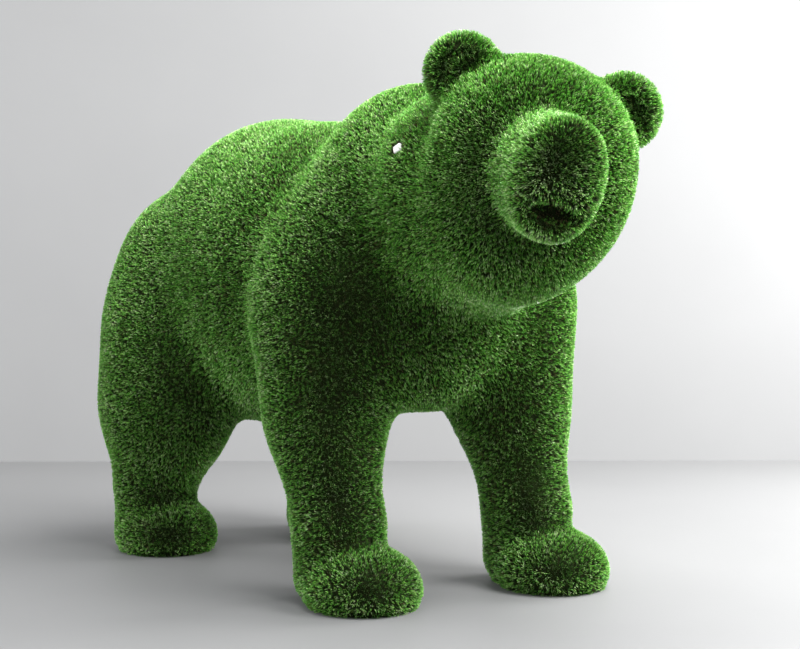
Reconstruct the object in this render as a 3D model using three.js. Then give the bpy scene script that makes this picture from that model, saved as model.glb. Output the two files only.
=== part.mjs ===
// Topiary bear: a life-size bear on all fours, covered all over in short artificial turf.
// Sizes are in millimetres, +Z is up and the bear walks towards -Y, so its left side is +X.
// The surface is the one that the tips of the turf make. The origin is on the floor, under the
// middle of the figure's box.
import * as THREE from "three";

// Stance, between the middles of the paws
const wheelbase = 990; // fore paw to hind paw of one side
const track = 548; // left paw to right paw
const stride = 100; // how far the left paws stand ahead of the right ones

// Trunk. Each mass is an ellipsoid: how far behind the middle of the stance its centre is, how
// high it reaches, and its whole width, length and depth
const rump = { behind: 314, top: 1264, width: 770, length: 778, depth: 887 };
const belly = { behind: 60, top: 1246, width: 835, length: 1100, depth: 840 };
const chest = { behind: -345, top: 1325, width: 710, length: 560, depth: 860 };

// Legs, at their whole thickness. Each hangs from a mass on the trunk and bends at one joint
const shoulder = { height: 740, apart: 475, behindPaw: 185, width: 375, length: 400, depth: 680 };
const foreLeg = { jointHeight: 460, jointBehindPaw: 164, jointThickness: 264, ankleBehindPaw: 104 };
const thigh = { height: 630, apart: 488, behindPaw: -15, width: 375, length: 530, depth: 830 };
const hindLeg = { jointHeight: 420, jointBehindPaw: 42, jointThickness: 288, ankleBehindPaw: 68 };
const ankle = { height: 190, thickness: 236 };
const heelHeight = 72; // where the heel is widest, above its rounded lower edge
const paw = { width: 300, length: 308, height: 160, widestAt: 45 };
const tail = { height: 985, reach: 95, thickness: 110 };

// Head. The middle of the skull is the origin of the head's own turned frame
const head = { ahead: 818, aside: -69, height: 1080, width: 540, length: 500, depth: 556 };
const faceFront = { ahead: 212, edge: 110 }; // the flat front, and how softly the cheeks turn from it
const headTurn = 30; // degrees to the bear's right
const headNod = 8; // degrees downwards
const headLean = 13; // degrees, the right ear up
const jowl = { below: 122, aside: -12, behind: 30, width: 430, length: 430, depth: 420 };
const muzzle = { reach: 392, above: 18, tipWidth: 195, tipDepth: 282, edge: 50 };
const muzzleRoot = { reach: 200, width: 262, depth: 290 };
const mouth = { below: 70, width: 124, gap: 34, cut: 34 };
const ear = { above: 191, apart: 398, behind: 15, width: 190, height: 192, thickness: 115 };
const earDish = { radius: 115, cut: 26 };
const cheekFold = { aside: 296, behind: 10, above: 20, width: 80, length: 170, height: 330, edge: 70 };

// Neck, from inside the chest to the skull
const neck = { behind: -420, height: 960, thickness: 570, headThickness: 578, behindSkull: 190 };

// How softly one form runs into the next: the width of the fillet between them
const fillet = { trunk: 110, neck: 70, limbToTrunk: 92, limb: 150, paw: 40, head: 36 };
const faceFillet = { muzzle: 36, ear: 36 };
const crease = 14; // the softness of the edges of the mouth and of the ear dishes

// How finely the surface is divided
const cell = wheelbase / 17; // of the grid that the surface is first found on
const sag = cell / 24; // the most that a facet may stand off the true surface before it is divided
const close = cell / 3000; // how near to the surface a point has to come
const rounds = 3; // of dividing
const fineEdge = mouth.gap / 1.6; // the longest edge that is left undivided round the mouth

// The field of an ellipsoid with whole sizes: below zero inside it, near true distance beside it
function ellipsoid(centre, size) {
  const [cx, cy, cz] = centre;
  const [rx, ry, rz] = size.map((s) => s / 2);
  return (x, y, z) => {
    const u = (x - cx) / rx;
    const v = (y - cy) / ry;
    const w = (z - cz) / rz;
    const inner = Math.hypot(u, v, w);
    const slope = Math.hypot(u / rx, v / ry, w / rz);
    return slope > 0 ? (inner * (inner - 1)) / slope : -Math.min(rx, ry, rz);
  };
}

// The field of a limb that tapers from one ball to another
function taper(from, to, fromThickness, toThickness) {
  const a = new THREE.Vector3(...from);
  const line = new THREE.Vector3(...to).sub(a);
  const length = line.length();
  const radius = fromThickness / 2;
  const growth = toThickness / 2 - radius;
  const lean = growth / Math.sqrt(length ** 2 - growth ** 2) / length;
  return (x, y, z) => {
    const dx = x - a.x;
    const dy = y - a.y;
    const dz = z - a.z;
    const along = (dx * line.x + dy * line.y + dz * line.z) / length ** 2;
    const off = Math.hypot(dx - line.x * along, dy - line.y * along, dz - line.z * along);
    const t = THREE.MathUtils.clamp(along + off * lean, 0, 1);
    return Math.hypot(off, (along - t) * length) - radius - growth * t;
  };
}

// Joins two fields with a fillet
function blend(a, b, width) {
  return (x, y, z) => {
    const p = a(x, y, z);
    const q = b(x, y, z);
    const near = Math.max(width - Math.abs(p - q), 0) / width;
    return Math.min(p, q) - (near ** 3 * width) / 6;
  };
}

// Takes the second field out of the first and softens the edge
function carve(a, b, width) {
  const left = blend((x, y, z) => -a(x, y, z), b, width);
  return (x, y, z) => -left(x, y, z);
}

// The field of a form that is described in a turned frame
function inFrame(frame, field) {
  const m = frame.matrixWorld.clone().invert().elements;
  return (x, y, z) =>
    field(
      m[0] * x + m[4] * y + m[8] * z + m[12],
      m[1] * x + m[5] * y + m[9] * z + m[13],
      m[2] * x + m[6] * y + m[10] * z + m[14],
    );
}

function trunkField() {
  const masses = [rump, belly, chest].map(({ behind, top, width, length, depth }) =>
    ellipsoid([0, behind, top - depth / 2], [width, length, depth]),
  );
  const trunk = masses.reduce((whole, mass) => blend(whole, mass, fillet.trunk));
  const rear = rump.behind + rump.length / 2;
  const root = [0, rump.behind, tail.height];
  const tip = [0, rear + tail.reach - tail.thickness / 2, tail.height - tail.reach];
  return blend(trunk, taper(root, tip, tail.thickness, tail.thickness), fillet.paw);
}

// One leg, from its mass on the trunk down to the paw. side is 1 on the left and -1 on the right
function legField(side, pawY, upper, leg) {
  const pawX = (side * track) / 2;
  const top = [(side * upper.apart) / 2, pawY + upper.behindPaw, upper.height];
  const joint = [pawX, pawY + leg.jointBehindPaw, leg.jointHeight];
  const low = [pawX, pawY + leg.ankleBehindPaw, ankle.height];
  const mass = ellipsoid(top, [upper.width, upper.length, upper.depth]);
  const arm = taper(top, joint, upper.width, leg.jointThickness);
  const shank = taper(joint, low, leg.jointThickness, ankle.thickness);
  const heel = taper(low, [low[0], low[1], heelHeight], ankle.thickness, ankle.thickness);
  const footSize = [paw.width, paw.length, 2 * (paw.height - paw.widestAt)];
  const foot = ellipsoid([pawX, pawY, paw.widestAt], footSize);
  const limb = blend(blend(arm, shank, fillet.limb), heel, fillet.paw);
  return blend(blend(mass, limb, fillet.limb), foot, fillet.paw);
}

function legsField() {
  return [1, -1]
    .flatMap((side) => {
      const foreY = -(wheelbase + side * stride) / 2;
      const hindY = foreY + wheelbase;
      return [legField(side, foreY, shoulder, foreLeg), legField(side, hindY, thigh, hindLeg)];
    })
    .reduce((whole, leg) => blend(whole, leg, fillet.paw));
}

// An oval frustum along -Y with its edges rounded
function muzzleField() {
  const run = muzzle.reach - muzzleRoot.reach;
  const half = muzzle.reach / 2;
  return (x, y, z) => {
    const t = Math.max(0, (-y - muzzleRoot.reach) / run);
    const rx = THREE.MathUtils.lerp(muzzleRoot.width, muzzle.tipWidth, t) / 2 - muzzle.edge;
    const rz = THREE.MathUtils.lerp(muzzleRoot.depth, muzzle.tipDepth, t) / 2 - muzzle.edge;
    const inner = Math.hypot(x / rx, (z - muzzle.above) / rz);
    const slope = Math.hypot(x / rx ** 2, (z - muzzle.above) / rz ** 2);
    const aside = slope > 0 ? (inner * (inner - 1)) / slope : -Math.min(rx, rz);
    const ahead = Math.abs(y + half) - half + muzzle.edge;
    const out = Math.hypot(Math.max(aside, 0), Math.max(ahead, 0));
    return out + Math.min(Math.max(aside, ahead), 0) - muzzle.edge;
  };
}

// One ear: a thick round disc with a shallow dish in its front
function earField(side) {
  const x = (side * ear.apart) / 2;
  const disc = ellipsoid([x, ear.behind, ear.above], [ear.width, ear.thickness, ear.height]);
  const dishY = ear.behind - ear.thickness / 2 + earDish.cut - earDish.radius;
  const dish = ellipsoid([x, dishY, ear.above], Array(3).fill(2 * earDish.radius));
  return carve(disc, dish, crease);
}

// The hollow behind one cheek, where the head meets the neck
function cheekFoldField(side) {
  const centre = [side * cheekFold.aside, cheekFold.behind, cheekFold.above];
  return ellipsoid(centre, [cheekFold.width, cheekFold.length, cheekFold.height]);
}

function headFrame() {
  const frame = new THREE.Object3D();
  frame.position.set(head.aside, -head.ahead, head.height);
  frame.rotation.order = "ZXY";
  frame.rotation.set(
    THREE.MathUtils.degToRad(headNod),
    THREE.MathUtils.degToRad(headLean),
    THREE.MathUtils.degToRad(-headTurn),
  );
  frame.updateMatrixWorld(true);
  return frame;
}

// The middle of the mouth, in the head's own frame
const mouthAt = [0, -muzzle.reach, muzzle.above - mouth.below];

function headField() {
  const ball = ellipsoid([0, 0, 0], [head.width, head.length, head.depth]);
  const skull = carve(ball, (x, y) => y + faceFront.ahead, faceFront.edge);
  const jaw = ellipsoid([jowl.aside, jowl.behind, -jowl.below], [jowl.width, jowl.length, jowl.depth]);
  const slot = ellipsoid(mouthAt, [mouth.width, 2 * mouth.cut, mouth.gap]);
  const round = blend(skull, jaw, fillet.trunk);
  const face = carve(blend(round, muzzleField(), faceFillet.muzzle), slot, crease);
  const folds = [1, -1].map(cheekFoldField);
  const cheeks = folds.reduce((whole, fold) => carve(whole, fold, cheekFold.edge), face);
  const ears = [1, -1].map(earField);
  const whole = ears.reduce((all, one) => blend(all, one, faceFillet.ear), cheeks);
  return inFrame(headFrame(), whole);
}

function bearField() {
  const root = new THREE.Vector3(0, neck.behind, neck.height);
  const nape = new THREE.Vector3(head.aside, -head.ahead, head.height);
  nape.addScaledVector(root.clone().sub(nape).normalize(), neck.behindSkull);
  const throat = taper(root, nape, neck.thickness, neck.headThickness);
  const body = blend(trunkField(), legsField(), fillet.limbToTrunk);
  return blend(blend(body, throat, fillet.neck), headField(), fillet.head);
}

// The slope of a field at a point
function slopeOf(field, p) {
  const step = cell / 100;
  return new THREE.Vector3(
    field(p.x + step, p.y, p.z) - field(p.x - step, p.y, p.z),
    field(p.x, p.y + step, p.z) - field(p.x, p.y - step, p.z),
    field(p.x, p.y, p.z + step) - field(p.x, p.y, p.z - step),
  ).divideScalar(2 * step);
}

// Moves a point onto the surface, where the field is zero. A point on the floor stays on it, and
// one underneath a sole stays where it is.
function settle(field, p) {
  const tries = 8;
  const leastSlope = 0.2;
  if (p.onFloor) p.z = 0;
  if (p.underneath) return p;
  for (let i = 0; i < tries; i++) {
    const value = field(p.x, p.y, p.z);
    if (Math.abs(value) < close) break;
    const slope = slopeOf(field, p);
    if (p.onFloor) slope.z = 0;
    p.addScaledVector(slope, -value / Math.max(slope.lengthSq(), leastSlope ** 2));
  }
  return p;
}

const corners = [[0, 0], [1, 0], [1, 1], [0, 1]]; // of a square, in order round it

// Calls a function for each cell of a grid
function eachCell(count, visit) {
  for (let k = 0; k < count[2]; k++)
    for (let j = 0; j < count[1]; j++) for (let i = 0; i < count[0]; i++) visit(i, j, k);
}

// Sorts the places where the surface crosses a cell's edges into the separate sheets that they
// belong to. Two crossings on one face of the cell are joined, and where there are four, the two
// beside each corner that lies inside the solid.
function sheetsOf(crossings, isInside) {
  const sheets = new Set(crossings.map((crossing) => (crossing.sheet = [crossing])));
  const join = ([a, b]) => {
    if (a.sheet === b.sheet) return;
    sheets.delete(b.sheet);
    a.sheet.push(...b.sheet);
    for (const crossing of b.sheet) crossing.sheet = a.sheet;
  };
  for (let axis = 0; axis < 3; axis++)
    for (const side of [0, 1]) {
      const onFace = crossings.filter((crossing) => crossing.edge[axis] === side);
      if (onFace.length === 2) join(onFace);
      if (onFace.length < 4) continue;
      for (const [u, v] of corners) {
        const corner = [];
        corner[axis] = side;
        corner[(axis + 1) % 3] = u;
        corner[(axis + 2) % 3] = v;
        const beside = ({ edge }) => edge.filter((at, n) => at !== corner[n]).length === 1;
        if (isInside(...corner)) join(onFace.filter(beside));
      }
    }
  return sheets;
}

// Finds the surface on a grid: a point in each cell for each sheet that passes through it, and a
// four-sided face round each grid edge that the surface crosses. The floor runs through the
// middle of the lowest cells, and the solid is cut off flat there.
function surfaceNet(field, low, high) {
  const count = low.map((start, axis) => Math.ceil((high[axis] - start) / cell) + 1);
  const row = [1, count[0], count[0] * count[1]];
  const number = (i, j, k) => i + row[1] * j + row[2] * k;
  const place = (axis, i) => low[axis] + i * cell;
  const values = new Float64Array(count[0] * count[1] * count[2]);
  eachCell(count, (i, j, k) => {
    const z = place(2, k);
    values[number(i, j, k)] = Math.max(field(place(0, i), place(1, j), z), -z);
  });

  const points = [];
  const rings = new Map();
  const cells = count.map((n) => n - 1);
  eachCell(cells, (i, j, k) => {
    const isInside = (u, v, w) => values[number(i + u, j + v, k + w)] < 0;
    const crossings = [];
    for (let axis = 0; axis < 3; axis++)
      corners.forEach(([u, v], slot) => {
        const edge = [];
        edge[axis] = 0;
        edge[(axis + 1) % 3] = u;
        edge[(axis + 2) % 3] = v;
        const from = number(i + edge[0], j + edge[1], k + edge[2]);
        const [a, b] = [values[from], values[from + row[axis]]];
        if (a < 0 === b < 0) return;
        const at = new THREE.Vector3(i, j, k).add(new THREE.Vector3(...edge));
        at.setComponent(axis, at.getComponent(axis) + a / (a - b));
        edge[axis] = 0.5;
        crossings.push({ edge, slot, at, ring: from * 3 + axis, outward: a < 0 });
      });
    if (!crossings.length) return;
    for (const sheet of sheetsOf(crossings, isInside)) {
      const p = sheet.reduce((sum, crossing) => sum.add(crossing.at), new THREE.Vector3());
      p.divideScalar(sheet.length);
      p.set(place(0, p.x), place(1, p.y), place(2, p.z));
      p.onFloor = k === 0;
      p.underneath = p.onFloor && corners.every(([u, v]) => isInside(u, v, 1));
      for (const { ring, slot, outward } of sheet) {
        if (!rings.has(ring)) rings.set(ring, { outward, around: [] });
        rings.get(ring).around[slot] = points.length;
      }
      points.push(settle(field, p));
    }
  });

  const faces = [...rings.values()].flatMap(({ outward, around }) => {
    const [p, q, r, s] = outward ? around : around.toReversed();
    const shorter = points[p].distanceTo(points[r]) <= points[q].distanceTo(points[s]);
    return shorter ? [[p, q, r], [p, r, s]] : [[q, r, s], [q, s, p]];
  });
  return { points, faces };
}

// Moves each point towards the middle of its neighbours and back onto the surface, so that the
// faces come out even. A point on the rim of a sole only follows its neighbours on the rim.
function relax(field, { points, faces }, times) {
  const neighbours = points.map(() => new Set());
  const isRim = (p) => p.onFloor && !p.underneath;
  for (const face of faces)
    face.forEach((a, n) => {
      const b = face[(n + 1) % 3];
      if (!isRim(points[a]) || isRim(points[b])) neighbours[a].add(b);
      if (!isRim(points[b]) || isRim(points[a])) neighbours[b].add(a);
    });
  for (let i = 0; i < times; i++)
    points.forEach((p, n) => {
      const middle = new THREE.Vector3();
      for (const one of neighbours[n]) middle.add(points[one]);
      settle(field, p.lerp(middle.divideScalar(neighbours[n].size), 0.5));
    });
}

// Halves each edge whose middle stands off the surface by more than the sag, or that is longer
// than is wanted there, and divides the faces that it belongs to
function divide(field, longest, { points, faces }) {
  const key = (a, b) => Math.min(a, b) * points.length + Math.max(a, b);
  const edges = new Map();
  for (const face of faces) {
    const underneath = face.every((v) => points[v].onFloor);
    face.forEach((a, n) => {
      const b = face[(n + 1) % 3];
      const edge = edges.get(key(a, b)) ?? { a, b, underneath: 0 };
      edge.underneath += underneath ? 1 : 0;
      edges.set(key(a, b), edge);
    });
  }

  const grown = [...points];
  for (const edge of edges.values()) {
    if (edge.underneath === 2) continue;
    const [a, b] = [points[edge.a], points[edge.b]];
    const middle = a.clone().lerp(b, 0.5);
    const p = middle.clone();
    p.onFloor = a.onFloor && b.onFloor;
    settle(field, p);
    if (p.distanceTo(middle) < sag && a.distanceTo(b) < longest(p)) continue;
    edge.point = grown.length;
    grown.push(p);
  }

  const made = faces.flatMap((face) => {
    const mid = face.map((a, n) => edges.get(key(a, face[(n + 1) % 3])).point);
    const halved = mid.filter((m) => m !== undefined).length;
    const first = mid.findIndex((m) => (m !== undefined) === (halved === 1));
    const turn = Math.max(first, 0);
    const [a, b, c] = [0, 1, 2].map((n) => face[(n + turn) % 3]);
    const [ab, bc, ca] = [0, 1, 2].map((n) => mid[(n + turn) % 3]);
    if (halved === 0) return [face];
    if (halved === 1) return [[a, ab, c], [ab, b, c]];
    if (halved === 2) return [[a, b, bc], [a, bc, ca], [ca, bc, c]];
    return [[a, ab, ca], [ab, b, bc], [ca, bc, c], [ab, bc, ca]];
  });
  return { points: grown, faces: made };
}

function bearGeometry() {
  const field = bearField();
  const aside = (track + Math.max(rump.width, belly.width, chest.width)) / 2;
  const ahead = wheelbase / 2 + head.ahead + head.length + muzzle.reach;
  const above = chest.top + head.depth + ear.height;
  const lips = new THREE.Vector3(...mouthAt).applyMatrix4(headFrame().matrixWorld);
  const longest = (p) => (p.distanceTo(lips) < mouth.width / 1.6 ? fineEdge : Infinity);
  let net = surfaceNet(field, [-aside, -ahead, -cell / 2], [aside, ahead, above]);
  relax(field, net, 4);
  for (let i = 0; i < rounds; i++) {
    net = divide(field, longest, net);
    relax(field, net, 1);
  }

  const geometry = new THREE.BufferGeometry();
  const places = net.points.flatMap((p) => [p.x, p.y, p.z]);
  geometry.setAttribute("position", new THREE.Float32BufferAttribute(places, 3));
  geometry.setIndex(net.faces.flat());
  geometry.computeBoundingBox();
  const middle = geometry.boundingBox.getCenter(new THREE.Vector3());
  geometry.translate(-middle.x, -middle.y, 0);
  geometry.computeVertexNormals();
  return geometry;
}

const turf = new THREE.MeshStandardMaterial({ color: 0x3f6b24, roughness: 0.85, metalness: 0 });
const bear = new THREE.Mesh(bearGeometry(), turf);
bear.name = "turf_bear";

const figure = new THREE.Group();
figure.add(bear);
export default figure;
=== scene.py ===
import math

import bpy
import numpy as np
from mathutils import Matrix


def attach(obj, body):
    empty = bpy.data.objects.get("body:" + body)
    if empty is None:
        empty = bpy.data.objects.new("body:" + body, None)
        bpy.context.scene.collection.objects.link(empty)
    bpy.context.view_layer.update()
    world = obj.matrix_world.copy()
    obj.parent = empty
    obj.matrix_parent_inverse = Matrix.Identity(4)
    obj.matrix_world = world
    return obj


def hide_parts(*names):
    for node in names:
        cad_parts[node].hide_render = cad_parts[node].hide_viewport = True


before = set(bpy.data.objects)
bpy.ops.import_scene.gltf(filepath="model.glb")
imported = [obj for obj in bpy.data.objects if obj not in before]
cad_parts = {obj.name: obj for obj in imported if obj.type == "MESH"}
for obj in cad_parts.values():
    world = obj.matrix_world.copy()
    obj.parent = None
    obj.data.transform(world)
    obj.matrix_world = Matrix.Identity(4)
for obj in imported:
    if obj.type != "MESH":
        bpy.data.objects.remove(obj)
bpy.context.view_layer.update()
print("frame loaded")

rng = np.random.default_rng(7)

# Where the photograph was taken from, in metres and degrees, with the lens in millimetres
view = {
    "place": (-2.753, -3.657, 0.93),
    "pitchDown": 3.014,
    "turn": -37.27,
    "away": (0.5962, 0.8028),
    "lens": 76.5,
    "sensor": 36.0,
}

# The head's own frame, and the places in it that the turf follows
headPlace = {
    "middle": (-0.069, -0.597, 1.080),
    "turn": -30.0,
    "nod": 8.0,
    "lean": 13.0,
    "noseTip": (0.0, -0.392, 0.03),
    "mouth": (0.0, -0.385, -0.052),
    "lowerLip": (-0.01, -0.385, -0.092),
    "ears": ((-0.199, -0.02, 0.195), (0.199, -0.02, 0.195)),
}


def turnMatrix(axis, degrees):
    c, s = math.cos(math.radians(degrees)), math.sin(math.radians(degrees))
    return np.array({
        "x": [[1, 0, 0], [0, c, -s], [0, s, c]],
        "y": [[c, 0, s], [0, 1, 0], [-s, 0, c]],
        "z": [[c, -s, 0], [s, c, 0], [0, 0, 1]],
    }[axis])


headTurn = (
    turnMatrix("z", headPlace["turn"])
    @ turnMatrix("x", headPlace["nod"])
    @ turnMatrix("y", headPlace["lean"])
)


# A place in the head's own frame, moved to the bear's
def onHead(spot):
    return headTurn @ np.array(spot) + np.array(headPlace["middle"])


def unit(vectors):
    return vectors / np.maximum(np.linalg.norm(vectors, axis=-1, keepdims=True), 1e-9)


# A soft mask: 1 within a third of the reach from a spot, and 0 at the reach
def near(places, spot, reach):
    away = np.linalg.norm(places - np.asarray(spot), axis=1) / reach
    return np.clip(1.5 - 1.5 * away, 0, 1)


# Slow waves over the body, mostly between -1 and 1, for how the turf was laid and brushed
def waves(places, scale, seed):
    own = np.random.default_rng(seed)
    count, leastPitch, mostPitch, wholeTurn, evenOut = 6, 0.6, 1.4, 6.28, 3.4
    total = np.zeros(len(places))
    for _ in range(count):
        way = own.normal(size=3)
        way *= scale * own.uniform(leastPitch, mostPitch) / np.linalg.norm(way)
        total += np.sin(places @ way + own.uniform(0, wholeTurn))
    return total / evenOut


def meshFrom(name, corners, faces, material, smooth=False):
    mesh = bpy.data.meshes.new(name)
    mesh.vertices.add(len(corners))
    mesh.vertices.foreach_set("co", np.asarray(corners, np.float32).ravel())
    mesh.loops.add(faces.size)
    mesh.loops.foreach_set("vertex_index", faces.astype(np.int32).ravel())
    mesh.polygons.add(len(faces))
    starts = np.arange(0, faces.size, faces.shape[1], dtype=np.int32)
    mesh.polygons.foreach_set("loop_start", starts)
    mesh.polygons.foreach_set("use_smooth", np.full(len(faces), smooth))
    mesh.update(calc_edges=True)
    mesh.validate()
    mesh.materials.append(material)
    piece = bpy.data.objects.new(name, mesh)
    bpy.context.scene.collection.objects.link(piece)
    return piece


def newMaterial(name, roughness, specular):
    material = bpy.data.materials.new(name)
    material.use_nodes = True
    shader = material.node_tree.nodes["Principled BSDF"]
    shader.inputs["Roughness"].default_value = roughness
    shader.inputs["Specular IOR Level"].default_value = specular
    return material, material.node_tree, shader


# Uneven tone: a colour made lighter and darker in soft patches of a given size
def makePatchyTone():
    group = bpy.data.node_groups.new("patchyTone", "ShaderNodeTree")
    for label, kind, value in (
        ("Color", "NodeSocketColor", (0.5, 0.5, 0.5, 1)),
        ("Patch Scale", "NodeSocketFloat", 6.0),
        ("Darkest", "NodeSocketFloat", 0.8),
        ("Lightest", "NodeSocketFloat", 1.2),
    ):
        socket = group.interface.new_socket(label, in_out="INPUT", socket_type=kind)
        socket.default_value = value
    for label, kind in (("Color", "NodeSocketColor"), ("Mask", "NodeSocketFloat")):
        group.interface.new_socket(label, in_out="OUTPUT", socket_type=kind)
    start = group.nodes.new("NodeGroupInput")
    end = group.nodes.new("NodeGroupOutput")

    place = group.nodes.new("ShaderNodeTexCoord")
    noise = group.nodes.new("ShaderNodeTexNoise")
    noise.inputs["Detail"].default_value = 4
    group.links.new(place.outputs["Object"], noise.inputs["Vector"])
    group.links.new(start.outputs["Patch Scale"], noise.inputs["Scale"])
    spread = group.nodes.new("ShaderNodeMapRange")
    spread.inputs["From Min"].default_value = 0.3
    spread.inputs["From Max"].default_value = 0.7
    group.links.new(noise.outputs["Fac"], spread.inputs["Value"])
    group.links.new(start.outputs["Darkest"], spread.inputs["To Min"])
    group.links.new(start.outputs["Lightest"], spread.inputs["To Max"])
    tone = group.nodes.new("ShaderNodeVectorMath")
    tone.operation = "SCALE"
    group.links.new(start.outputs["Color"], tone.inputs[0])
    group.links.new(spread.outputs["Result"], tone.inputs["Scale"])
    group.links.new(tone.outputs["Vector"], end.inputs["Color"])
    group.links.new(noise.outputs["Fac"], end.inputs["Mask"])
    return group


patchyTone = makePatchyTone()


def addPatchyTone(tree, color, scale, darkest, lightest):
    node = tree.nodes.new("ShaderNodeGroup")
    node.node_tree = patchyTone
    if isinstance(color, tuple):
        node.inputs["Color"].default_value = (*color, 1)
    else:
        tree.links.new(color, node.inputs["Color"])
    node.inputs["Patch Scale"].default_value = scale
    node.inputs["Darkest"].default_value = darkest
    node.inputs["Lightest"].default_value = lightest
    return node


def addBump(tree, shader, height, depth):
    bump = tree.nodes.new("ShaderNodeBump")
    bump.inputs["Distance"].default_value = depth
    tree.links.new(height, bump.inputs["Height"])
    tree.links.new(bump.outputs["Normal"], shader.inputs["Normal"])


# Thatch: the matted brown and dark green base that shows between the blades
thatch = {
    "mix": ((0.38, (0.022, 0.016, 0.008)), (0.60, (0.012, 0.032, 0.006))),
    "matScale": 420.0,
    "matDetail": 3,
    "patches": (9.0, 0.7, 1.3),
    "roughness": 0.95,
    "specular": 0.1,
    "bumpDepth": 0.004,
}


def makeThatch():
    material, tree, shader = newMaterial("thatchMat", thatch["roughness"], thatch["specular"])
    place = tree.nodes.new("ShaderNodeTexCoord")
    mat = tree.nodes.new("ShaderNodeTexNoise")
    mat.inputs["Scale"].default_value = thatch["matScale"]
    mat.inputs["Detail"].default_value = thatch["matDetail"]
    tree.links.new(place.outputs["Object"], mat.inputs["Vector"])
    mix = tree.nodes.new("ShaderNodeValToRGB")
    for element, (at, color) in zip(mix.color_ramp.elements, thatch["mix"]):
        element.position = at
        element.color = (*color, 1)
    tree.links.new(mat.outputs["Fac"], mix.inputs["Fac"])
    tone = addPatchyTone(tree, mix.outputs["Color"], *thatch["patches"])
    tree.links.new(tone.outputs["Color"], shader.inputs["Base Color"])
    addBump(tree, shader, mat.outputs["Fac"], thatch["bumpDepth"])
    return material


# Blades. The colour map has a grid of cells: a blade lies in one cell, root below and tip above,
# and the rows run from thatch through dark and mid green to the palest blades. Lengths are in
# metres, angles in degrees, and a range gives the least and the most.
blades = {
    "strips": ("turf_head", "turf_neck", "turf_shoulders", "turf_flanks", "turf_rump"),
    "tufts": 128000,
    "inTuft": 7,
    "tuftWidth": 0.0060,
    "pile": 0.0135,
    "rootedBelow": 0.0006,
    "rootWidth": 0.0023,
    "tipWidth": 0.0017,
    "widthVaries": (0.75, 1.25),
    "bluntShare": 0.6,
    "length": (0.90, 1.14),
    "tuftLength": (0.93, 1.04),
    "splay": 7.5,
    "splayVaries": 0.45,
    "lean": 3.5,
    "brushed": 0.08,
    "brushScale": 7.0,
    "brushSeeds": (11, 12, 13),
    "droop": (0.0, 0.0, -0.04),
    "thatchShare": 0.10,
    "thatchSplay": 1.9,
    "thatchLength": (0.6, 0.95),
    "leastHeight": {"tip": 0.0015, "root": 0.0008, "corner": 0.0004},
    "tuftTone": 0.7,
    "bladeTone": 0.6,
    "tonePatches": ((0.35, 14.0, 3), (0.25, 55.0, 5)),
    "roughness": 0.38,
    "specular": 0.7,
    "cells": 124,
    "cellInset": 0.08,
    "hueVaries": (0.485, 0.515),
    "paleFrom": 0.35,
    # Painted shade at the blade roots and painted light at the tips
    "rootShadeTone": 0.04,
    "tipLightTone": 1.4,
    "tones": (
        (0.00, (0.090, 0.060, 0.030)),
        (0.08, (0.210, 0.160, 0.070)),
        (0.12, (0.060, 0.200, 0.024)),
        (0.45, (0.140, 0.420, 0.050)),
        (0.75, (0.270, 0.560, 0.110)),
        (0.93, (0.430, 0.640, 0.250)),
        (1.00, (0.600, 0.720, 0.430)),
    ),
}


def makeBlade():
    material, tree, shader = newMaterial("turfBlade", blades["roughness"], blades["specular"])
    place = tree.nodes.new("ShaderNodeUVMap")
    place.uv_map = "OFBake"
    cell = tree.nodes.new("ShaderNodeVectorMath")
    cell.operation = "SCALE"
    cell.inputs["Scale"].default_value = blades["cells"]
    tree.links.new(place.outputs["UV"], cell.inputs[0])
    number = tree.nodes.new("ShaderNodeVectorMath")
    number.operation = "FLOOR"
    tree.links.new(cell.outputs["Vector"], number.inputs[0])
    inside = tree.nodes.new("ShaderNodeVectorMath")
    inside.operation = "FRACTION"
    tree.links.new(cell.outputs["Vector"], inside.inputs[0])
    row = tree.nodes.new("ShaderNodeSeparateXYZ")
    tree.links.new(number.outputs["Vector"], row.inputs["Vector"])
    along = tree.nodes.new("ShaderNodeSeparateXYZ")
    tree.links.new(inside.outputs["Vector"], along.inputs["Vector"])

    # The row gives the tone
    share = tree.nodes.new("ShaderNodeMath")
    share.operation = "DIVIDE"
    share.inputs[1].default_value = blades["cells"]
    tree.links.new(row.outputs["Y"], share.inputs[0])
    tones = tree.nodes.new("ShaderNodeValToRGB")
    ramp = tones.color_ramp
    while len(ramp.elements) < len(blades["tones"]):
        ramp.elements.new(0.5)
    for element, (at, color) in zip(ramp.elements, blades["tones"]):
        element.position = at
        element.color = (*color, 1)
    tree.links.new(share.outputs["Value"], tones.inputs["Fac"])

    # Each cell is a little bluer or yellower than its neighbours
    chance = tree.nodes.new("ShaderNodeTexWhiteNoise")
    chance.noise_dimensions = "2D"
    tree.links.new(number.outputs["Vector"], chance.inputs["Vector"])
    hue = tree.nodes.new("ShaderNodeMapRange")
    hue.inputs["To Min"].default_value, hue.inputs["To Max"].default_value = blades["hueVaries"]
    tree.links.new(chance.outputs["Value"], hue.inputs["Value"])
    shift = tree.nodes.new("ShaderNodeHueSaturation")
    tree.links.new(hue.outputs["Result"], shift.inputs["Hue"])
    tree.links.new(tones.outputs["Color"], shift.inputs["Color"])

    # A blade is nearly black at the root and palest at the tip: painted shade deep in the pile and
    # painted light on the tips
    rise = tree.nodes.new("ShaderNodeMapRange")
    rise.interpolation_type = "SMOOTHSTEP"
    rise.inputs["From Min"].default_value = blades["paleFrom"]
    rise.inputs["To Min"].default_value = blades["rootShadeTone"]
    rise.inputs["To Max"].default_value = blades["tipLightTone"]
    tree.links.new(along.outputs["Y"], rise.inputs["Value"])
    tree.links.new(rise.outputs["Result"], shift.inputs["Value"])
    tree.links.new(shift.outputs["Color"], shader.inputs["Base Color"])
    return material


thatchMaterial = makeThatch()
bladeMaterial = makeBlade()
print("turf materials made")

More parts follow.
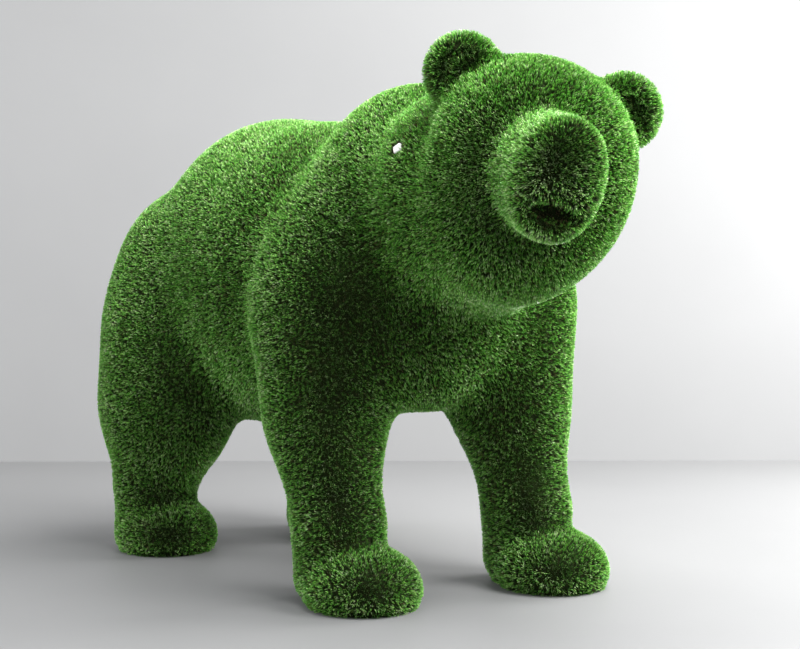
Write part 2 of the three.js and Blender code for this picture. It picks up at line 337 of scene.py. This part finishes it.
# The solid's own surface: its corners, its faces and how it faces at each corner. The soles don't
# count for that, so the turf stands straight out beside the floor
touching = 0.001
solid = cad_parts["turf_bear"].data
solid.calc_loop_triangles()
points = np.empty(len(solid.vertices) * 3)
solid.vertices.foreach_get("co", points)
points = points.reshape(-1, 3)
triangles = np.empty(len(solid.loop_triangles) * 3, np.int64)
solid.loop_triangles.foreach_get("vertices", triangles)
points, same = np.unique(points.round(6), axis=0, return_inverse=True)
triangles = same.ravel()[triangles].reshape(-1, 3)
triangles = triangles[(triangles != np.roll(triangles, 1, axis=1)).all(1)]
isSole = (points[triangles][:, :, 2] < touching).all(1)
walls = triangles[~isSole]
edgeA = points[walls[:, 1]] - points[walls[:, 0]]
edgeB = points[walls[:, 2]] - points[walls[:, 0]]
crossed = np.cross(edgeA, edgeB)
facing = np.zeros_like(points)
for n in range(3):
    to = unit(points[walls[:, (n + 1) % 3]] - points[walls[:, n]])
    fro = unit(points[walls[:, (n + 2) % 3]] - points[walls[:, n]])
    corner = np.arccos(np.clip((to * fro).sum(1), -1, 1))
    np.add.at(facing, walls[:, n], unit(crossed) * corner[:, None])
facing = unit(facing)
onFloor = points[:, 2] < touching
facing[onFloor, 2] = 0
facing[onFloor] = unit(facing[onFloor])


# A point inside each chosen face, lifted off the flat to the round surface, and how it faces
def roundPoint(faces, weights):
    roundness = 0.7
    at = points[faces]
    way = facing[faces]
    flat = (weights[:, :, None] * at).sum(1)
    off = ((flat[:, None] - at) * way).sum(2, keepdims=True)
    lifted = (weights[:, :, None] * (flat[:, None] - off * way)).sum(1)
    place = (1 - roundness) * flat + roundness * lifted
    place[:, 2] = np.where(flat[:, 2] < touching, 0, np.maximum(place[:, 2], 0))
    return place, unit((weights[:, :, None] * way).sum(1))


# Skin: the solid drawn in by the depth of the pile, each face divided in four
def makeSkin():
    sides = np.concatenate([triangles[:, [n, (n + 1) % 3]] for n in range(3)])
    halved, which = np.unique(np.sort(sides, 1), axis=0, return_inverse=True)
    weights = np.zeros((len(halved), 3))
    weights[:, :2] = 0.5
    middle, middleWay = roundPoint(np.column_stack([halved, halved[:, 0]]), weights)
    flatEdge = onFloor[halved].all(1)
    middle[flatEdge] = points[halved[flatEdge]].mean(1)
    places = np.concatenate([points, middle])
    ways = np.concatenate([facing, middleWay])
    low = places[:, 2] < touching
    ways[low, 2] = 0
    places = places - ways * blades["pile"]
    places[low, 2] = 0
    a, b, c = triangles.T
    ab, bc, ca = which.ravel().reshape(3, -1) + len(points)
    faces = np.concatenate([
        np.column_stack([a, ab, ca]),
        np.column_stack([ab, b, bc]),
        np.column_stack([ca, bc, c]),
        np.column_stack([ab, bc, ca]),
    ])
    return meshFrom("turf_skin", places, faces, thatchMaterial, smooth=True)


skin = makeSkin()
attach(skin, "root")
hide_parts("turf_bear")
print("skin made,", len(skin.data.polygons), "faces")

# How the turf on the head differs, how far each difference reaches from its places, and how
# strong it is there
headTurf = {
    "thicker": {"reach": 0.62, "share": 0.5},
    "longer": {"reach": 0.17, "share": 0.3},
    "shortMouth": {"reach": 0.05, "share": 0.45},
    # Darker blades near the fronts of the ears
    "earDarkening": {"reach": 0.08, "share": 0.15},
    # Painted shade: darker blades round the mouth slot
    "mouthShade": {"reach": 0.062, "share": 1.3},
    # Painted light: paler blades at the lower lip and the nose tip
    "lipLight": {"reach": 0.042, "share": 0.9},
    "noseLight": {"reach": 0.1, "share": 0.6},
    "partedNose": {"reach": 0.15, "share": 0.3},
    # How far these spots are darkened or lightened: painted shade at the mouth and painted light
    # at the lip and nose
    "toneShiftStrength": 1.6,
}
noseTip = onHead(headPlace["noseTip"])
mouth = onHead(headPlace["mouth"])
lowerLip = onHead(headPlace["lowerLip"])
earFronts = [onHead(spot) for spot in headPlace["ears"]]


def differs(label, places, *spots):
    reach, share = headTurf[label]["reach"], headTurf[label]["share"]
    return share * np.maximum.reduce([near(places, spot, reach) for spot in spots])


# Spreads tufts over the surface, as many to each face as its size and the head's share ask. The
# two steps fill a face evenly, each from a start of its own
def scatter(count):
    steps = (0.7548776662, 0.5698402910)
    wanted = np.linalg.norm(crossed, axis=1) / 2
    wanted *= 1 + differs("thicker", points[walls].mean(1), headPlace["middle"])
    wanted *= count / wanted.sum()
    each = np.floor(wanted + rng.random(len(wanted))).astype(int)
    which = np.repeat(np.arange(len(walls)), each)
    turn = np.concatenate([np.arange(n) for n in each])
    offset = rng.random((len(walls), 2))[which]
    u, v = ((turn * step + offset[:, n]) % 1 for n, step in enumerate(steps))
    over = u + v > 1
    u[over], v[over] = 1 - u[over], 1 - v[over]
    return roundPoint(walls[which], np.column_stack([1 - u - v, u, v]))


# The bare spot on the neck behind the right cheek, where the white shell shows
bareSpot = {
    "place": (-0.303, -0.418, 1.139),
    "within": 0.06,
    "clear": 0.0205,
    "ragged": (0.18, 260.0, 31),
    "wider": 1.45,
    "rings": 7,
    "slices": 28,
    "square": 0.13,
    "edgeVaries": 0.09,
    "liftVaries": 0.0012,
    "edgeSinks": 0.0025,
    "specular": 0.3,
    "patches": (180.0, 0.72, 1.12),
    "bumpDepth": 0.0015,
}

# The white spot and the dark rim, which is larger and lies a little deeper: the dark backing at
# the cut edge with painted shadow of the edge, set a little off to one side and up
patches = {
    "bare_spot_shadow_rim": {
        "radius": 0.016875,
        "depth": 0.009,
        "shift": (-0.003, 0.003),
        "color": (0.030, 0.018, 0.010),
        "roughness": 0.9,
        "seed": 21,
    },
    "bare_spot": {
        "radius": 0.0125,
        "depth": 0.005,
        "shift": (0.0, 0.0),
        "color": (0.80, 0.79, 0.76),
        "roughness": 0.6,
        "seed": 22,
    },
}

places, ways = scatter(blades["tufts"])
spot = np.array(bareSpot["place"])
spotWay = ways[np.argmin(np.linalg.norm(places - spot, axis=1))]
fromSpot = places - spot
fromSpot -= (fromSpot @ spotWay)[:, None] * spotWay
raggedBy, raggedScale, raggedSeed = bareSpot["ragged"]
edge = bareSpot["clear"] * (1 + raggedBy * waves(places, raggedScale, raggedSeed))
nearSpot = np.linalg.norm(places - spot, axis=1) < bareSpot["within"]
bare = nearSpot & (np.linalg.norm(fromSpot, axis=1) < edge)
places, ways = places[~bare], ways[~bare]

# In order from the head to the rump. Turf below a height of one metre counts as a little further
# back, the more the lower it is
lowerBehind, fromHeight = 0.10, 1.0
order = np.argsort(places[:, 1] + lowerBehind * np.maximum(0, fromHeight - places[:, 2]))
places, ways = places[order], ways[order]
print("tufts placed,", len(places))


# How pale each blade of a strip is, as a rank from thatch to the palest
def rankBlades(places):
    each = blades["inTuft"]
    count = len(places) * each
    # Darker near the ear fronts, painted shade round the mouth, and painted light at the lower lip
    # and the nose tip
    toneShift = differs("earDarkening", places, *earFronts)
    toneShift = np.maximum(toneShift, differs("mouthShade", places, mouth))
    toneShift -= differs("lipLight", places, lowerLip) + differs("noseLight", places, noseTip)
    tone = blades["tuftTone"] * rng.normal(size=len(places))
    for strength, scale, seed in blades["tonePatches"]:
        tone += strength * waves(places, scale, seed)
    tone = np.repeat(tone - headTurf["toneShiftStrength"] * toneShift, each)
    tone += blades["bladeTone"] * rng.normal(size=count)
    rank = np.empty(count, np.int64)
    rank[np.argsort(tone)] = np.arange(count)
    return rank


# The way each tuft leans: its own chance, how that part was brushed, a little droop, and on the
# nose away from its tip
def leanTufts(places, ways):
    lean = math.tan(math.radians(blades["lean"])) * rng.normal(size=(len(places), 3))
    brush = [waves(places, blades["brushScale"], seed) for seed in blades["brushSeeds"]]
    lean += blades["brushed"] * np.column_stack(brush) + np.array(blades["droop"])
    lean += unit(places - noseTip) * differs("partedNose", places, noseTip)[:, None]
    return lean - (lean * ways).sum(1, keepdims=True) * ways


# Two directions across each way
def sidesOf(ways):
    other = np.where(np.abs(ways[:, 2:]) < 0.9, (0.0, 0.0, 1.0), (1.0, 0.0, 0.0))
    sideA = unit(np.cross(ways, other))
    return sideA, np.cross(ways, sideA)


# One strip of turf. The blades of a tuft stand close together and splay, and each has one face:
# a pointed blade is widest at its root, and a blunt one at its cut end
def makeStrip(name, places, ways):
    each = blades["inTuft"]
    count = len(places) * each
    longer = differs("longer", places, *earFronts, noseTip) - differs("shortMouth", places, mouth)
    rank = rankBlades(places)
    row = rank * blades["cells"] // count
    column = rng.permutation(count) % blades["cells"]
    isThatch = rank < blades["thatchShare"] * count
    lean = leanTufts(places, ways)
    sideA, sideB = sidesOf(ways)
    places, ways, lean, sideA, sideB, longer = (
        np.repeat(part, each, axis=0) for part in (places, ways, lean, sideA, sideB, longer)
    )

    # Where each blade of the tuft stands, and how it splays
    around = rng.uniform(0, 2 * np.pi, count)
    out = np.sqrt(rng.random(count))
    outward = sideA * np.cos(around)[:, None] + sideB * np.sin(around)[:, None]
    splay = np.tan(np.radians(blades["splay"] * np.where(isThatch, blades["thatchSplay"], 1.0)))
    splay *= out + blades["splayVaries"] * rng.normal(size=count)
    way = unit(ways + lean + outward * splay[:, None])
    root = places + outward * (0.5 * blades["tuftWidth"] * out)[:, None]
    root -= ways * (blades["pile"] + blades["rootedBelow"])

    # How long and how wide it is
    length = blades["pile"] * rng.uniform(*blades["length"], count) * (1 + longer)
    length *= np.where(isThatch, rng.uniform(*blades["thatchLength"], count), 1.0)
    length *= np.repeat(rng.uniform(*blades["tuftLength"], count // each), each)
    tip = root + way * length[:, None]
    least = blades["leastHeight"]
    tip[:, 2] = np.maximum(tip[:, 2], least["tip"])
    root[:, 2] = np.maximum(root[:, 2], least["root"])
    isBlunt = rng.random(count) < blades["bluntShare"]
    width = np.where(isBlunt, blades["tipWidth"], blades["rootWidth"])
    width = width * rng.uniform(*blades["widthVaries"], count)
    flat = unit(np.cross(way, rng.normal(size=(count, 3)))) * (width / 2)[:, None]
    wide = np.where(isBlunt[:, None], tip, root)
    point = np.where(isBlunt[:, None], root, tip)
    corners = np.stack([wide - flat, wide + flat, point], 1).reshape(-1, 3)
    corners[:, 2] = np.maximum(corners[:, 2], least["corner"])
    strip = meshFrom(name, corners, np.arange(count * 3).reshape(-1, 3), bladeMaterial)

    # Its place on the colour map
    inset = blades["cellInset"]
    wideSpot = np.where(isBlunt, 1 - inset, inset)
    spots = np.stack([
        np.column_stack([column + inset, row + wideSpot]),
        np.column_stack([column + 1 - inset, row + wideSpot]),
        np.column_stack([column + 0.5, row + 1 - wideSpot]),
    ], 1) / blades["cells"]
    layer = strip.data.uv_layers.new(name="OFBake")
    layer.data.foreach_set("uv", spots.astype(np.float32).ravel())
    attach(strip, "root")
    print(name, "made,", count, "blades")


strips = blades["strips"]
for name, part in zip(strips, np.array_split(np.arange(len(places)), len(strips))):
    makeStrip(name, places[part], ways[part])


# A small ragged patch, nearly square, that lies in the pile and faces as the skin does there
def makePatch(name, patch):
    own = np.random.default_rng(patch["seed"])
    rings, slices = bareSpot["rings"], bareSpot["slices"]
    across = unit(np.cross(spotWay, (0.0, 0.0, 1.0)))
    up = np.cross(across, spotWay)
    shiftAcross, shiftUp = patch["shift"]
    middle = spot - spotWay * patch["depth"] + across * shiftAcross + up * shiftUp
    turns = np.linspace(0, 2 * np.pi, slices, endpoint=False)
    bulge = bareSpot["square"] * np.sin(4 * turns + 0.6)
    bulge += own.uniform(-bareSpot["edgeVaries"], bareSpot["edgeVaries"], slices)
    corners = [middle]
    for ring in range(1, rings + 1):
        for cut, turn in enumerate(turns):
            reach = patch["radius"] * ring / rings * (1 + bulge[cut] * ring / rings)
            lift = bareSpot["liftVaries"] * own.uniform(-1, 1)
            lift -= bareSpot["edgeSinks"] * (ring == rings)
            place = middle + across * bareSpot["wider"] * reach * math.cos(turn)
            corners.append(place + up * reach * math.sin(turn) + spotWay * lift)
    faces = []
    for cut in range(slices):
        after = (cut + 1) % slices
        faces.append((0, 1 + cut, 1 + after))
        for ring in range(rings - 1):
            a, b = 1 + ring * slices + cut, 1 + ring * slices + after
            faces.append((a, a + slices, b + slices))
            faces.append((a, b + slices, b))
    material, tree, shader = newMaterial(name + "Finish", patch["roughness"], bareSpot["specular"])
    tone = addPatchyTone(tree, patch["color"], *bareSpot["patches"])
    tree.links.new(tone.outputs["Color"], shader.inputs["Base Color"])
    addBump(tree, shader, tone.outputs["Mask"], bareSpot["bumpDepth"])
    piece = meshFrom(name, np.array(corners), np.array(faces), material, smooth=True)
    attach(piece, "root")


for name, patch in patches.items():
    makePatch(name, patch)
print("bare spot made")

# Floor and backdrop, plain and pale, placed from the camera. The backdrop can be seen through
# from behind, so that the back of the bear can be looked at
studio = {
    "floorTone": (0.18, 0.18, 0.18),
    "wallTone": (0.24, 0.24, 0.24),
    "floorRoughness": 0.55,
    "wallRoughness": 0.9,
    "specular": 0.3,
    "patches": (1.6, 0.98, 1.02),
    "nearEdge": -6.0,
    "farEdge": 18.0,
    "wallAway": 6.965,
    "reach": 14.0,
    "wallHeight": 7.0,
}


def makePaint(name, tone, roughness):
    material, tree, shader = newMaterial(name, roughness, studio["specular"])
    mottle = addPatchyTone(tree, tone, *studio["patches"])
    tree.links.new(mottle.outputs["Color"], shader.inputs["Base Color"])
    return material, tree, shader


def makeStudio():
    start = np.array([*view["place"][:2], 0.0])
    away = np.array([*view["away"], 0.0])
    aside = np.array([away[1], -away[0], 0.0]) * studio["reach"]
    up = np.array([0.0, 0.0, studio["wallHeight"]])
    front, back, wall = (start + away * studio[k] for k in ("nearEdge", "farEdge", "wallAway"))
    square = np.array([[0, 1, 2, 3]])

    paint, _, _ = makePaint("floorPaint", studio["floorTone"], studio["floorRoughness"])
    ring = [front - aside, front + aside, back + aside, back - aside]
    meshFrom("floor", ring, square, paint)

    paint, tree, shader = makePaint("wallPaint", studio["wallTone"], studio["wallRoughness"])
    side = tree.nodes.new("ShaderNodeNewGeometry")
    clear = tree.nodes.new("ShaderNodeBsdfTransparent")
    mix = tree.nodes.new("ShaderNodeMixShader")
    tree.links.new(side.outputs["Backfacing"], mix.inputs["Fac"])
    tree.links.new(shader.outputs["BSDF"], mix.inputs[1])
    tree.links.new(clear.outputs["BSDF"], mix.inputs[2])
    tree.links.new(mix.outputs["Shader"], tree.nodes["Material Output"].inputs["Surface"])
    ring = [wall - aside, wall + aside, wall + aside + up, wall - aside + up]
    meshFrom("backdrop", ring, square, paint)


makeStudio()

# Soft light: a wide square lamp above the head, one high in front on the right of the picture,
# and one a little behind the bear's middle on each side. They aim at the middle of the body, and
# even light comes from all round
lights = {
    "overhead": {"place": (0.3, -0.9, 3.4), "size": 2.2, "power": 240.0},
    "rightFront": {"place": (1.8, -3.0, 3.2), "size": 2.0, "power": 230.0},
    "rightBack": {"place": (3.2, -0.9, 1.5), "size": 2.0, "power": 270.0},
    "leftBack": {"place": (-3.2, 3.0, 1.2), "size": 2.8, "power": 160.0},
}
lightsAim = (0.0, 0.0, 0.7)
allRound = {"color": (0.93, 0.96, 1.0), "strength": 0.95}


def makeLights():
    for name, light in lights.items():
        lamp = bpy.data.lights.new(name, "AREA")
        lamp.shape = "SQUARE"
        lamp.size = light["size"]
        lamp.energy = light["power"]
        holder = bpy.data.objects.new(name, lamp)
        bpy.context.scene.collection.objects.link(holder)
        place = np.array(light["place"])
        x, y, z = np.array(lightsAim) - place
        holder.location = place
        holder.rotation_euler = (math.atan2(math.hypot(x, y), -z), 0, math.atan2(x, -y) + math.pi)
    world = bpy.data.worlds.new("studioAir")
    world.use_nodes = True
    air = world.node_tree.nodes["Background"]
    air.inputs["Color"].default_value = (*allRound["color"], 1)
    air.inputs["Strength"].default_value = allRound["strength"]
    bpy.context.scene.world = world
    bpy.context.scene.view_settings.view_transform = "Standard"


makeLights()

lens = bpy.data.cameras.new("photoLens")
lens.sensor_width = view["sensor"]
lens.lens = view["lens"]
camera = bpy.data.objects.new("photoView", lens)
camera.location = view["place"]
camera.rotation_euler = (math.radians(90 - view["pitchDown"]), 0, math.radians(view["turn"]))
bpy.context.scene.collection.objects.link(camera)
bpy.context.scene.camera = camera
print("studio made")
